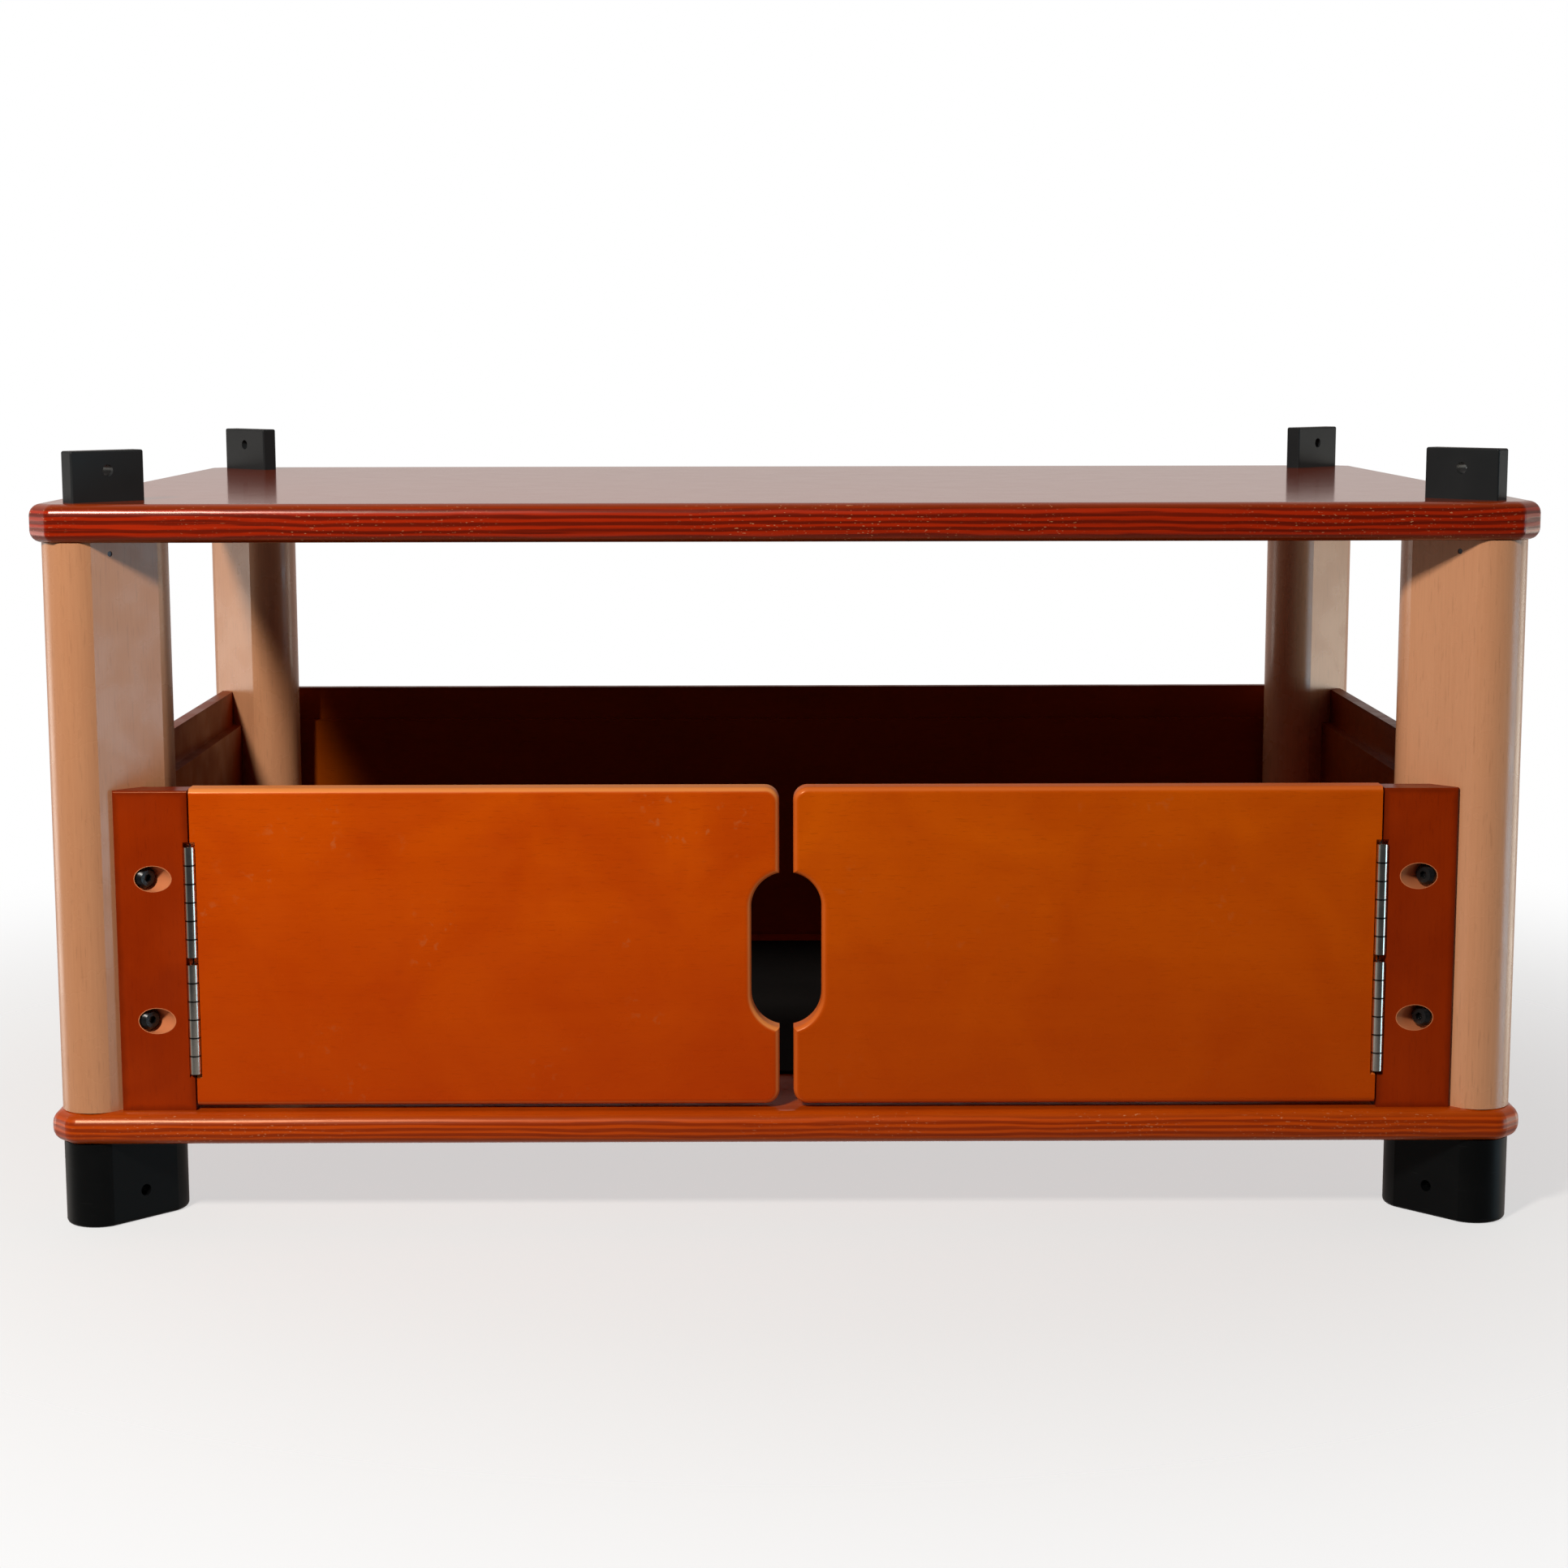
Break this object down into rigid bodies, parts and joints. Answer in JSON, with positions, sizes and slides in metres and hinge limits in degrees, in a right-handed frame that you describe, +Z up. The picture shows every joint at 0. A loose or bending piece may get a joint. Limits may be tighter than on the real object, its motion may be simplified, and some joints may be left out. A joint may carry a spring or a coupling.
{
  "type": "cube storage unit",
  "caption": "Low stackable storage unit: stained boards and panels on diagonal beech posts, hinged doors with a shared hand cut-out, open above, black feet and stacking tenons.",
  "frame": {"origin": "on the floor under the unit's centre", "axes": "+Z up, +X along the width to the right, -Y towards the doors"},
  "size_m": [0.82, 0.53, 0.431],
  "materials": {
    "top_stain": "glossy red-brown stained lacquer over plywood",
    "board_stain": "satin orange stained lacquer over plywood",
    "bare_beech": "clear satin lacquer",
    "black_plastic": "moulded matt black",
    "pin_steel": "plain steel, dulled",
    "stile_stain": "satin red-orange stained lacquer",
    "door_stain": "satin orange stained lacquer",
    "panel_stain": "satin orange stained lacquer",
    "black_bolt": "black oxide",
    "insert_metal": "zinc plated",
    "hinge_nickel": "nickel plated, lightly brushed",
    "mat_felt": "dark grey felt"
  },
  "bodies": {
    "frame": {"back_panel": "panel_stain", "back_panel_bolts": "black_bolt", "bottom_board": "board_stain", "floor_mat": "mat_felt", "foot_front_left": "black_plastic", "foot_front_right": "black_plastic", "foot_rear_left": "black_plastic", "foot_rear_right": "black_plastic", "left_lower_hinge_pin": "hinge_nickel", "left_lower_hinge_stile_leaf": "hinge_nickel", "left_side_panel": "panel_stain", "left_stile": "stile_stain", "left_upper_hinge_pin": "hinge_nickel", "left_upper_hinge_stile_leaf": "hinge_nickel", "post_cross_pins": "pin_steel", "post_front_left": "bare_beech", "post_front_right": "bare_beech", "post_rear_left": "bare_beech", "post_rear_right": "bare_beech", "right_lower_hinge_pin": "hinge_nickel", "right_lower_hinge_stile_leaf": "hinge_nickel", "right_side_panel": "panel_stain", "right_stile": "stile_stain", "right_upper_hinge_pin": "hinge_nickel", "right_upper_hinge_stile_leaf": "hinge_nickel", "side_panel_bolts": "black_bolt", "stacking_tenon_front_left": "black_plastic", "stacking_tenon_front_right": "black_plastic", "stacking_tenon_rear_left": "black_plastic", "stacking_tenon_rear_right": "black_plastic", "stile_bolts": "black_bolt", "stile_hinge_screws": "hinge_nickel", "thread_inserts": "insert_metal", "top_board": "top_stain"},
    "left_door": {"left_door": "door_stain", "left_door_hinge_screws": "hinge_nickel", "left_lower_hinge_door_leaf": "hinge_nickel", "left_upper_hinge_door_leaf": "hinge_nickel"},
    "right_door": {"right_door": "door_stain", "right_door_hinge_screws": "hinge_nickel", "right_lower_hinge_door_leaf": "hinge_nickel", "right_upper_hinge_door_leaf": "hinge_nickel"}
  },
  "joints": [
    {"name": "left_door_hinge", "type": "hinge", "parent": "frame", "child": "left_door", "pos_m": [-0.3285, -0.25503, 0.151], "axis": [0, 0, -1], "range_deg": [0, 165]},
    {"name": "right_door_hinge", "type": "hinge", "parent": "frame", "child": "right_door", "pos_m": [0.3285, -0.25503, 0.151], "axis": [0, 0, 1], "range_deg": [0, 165]}
  ]
}
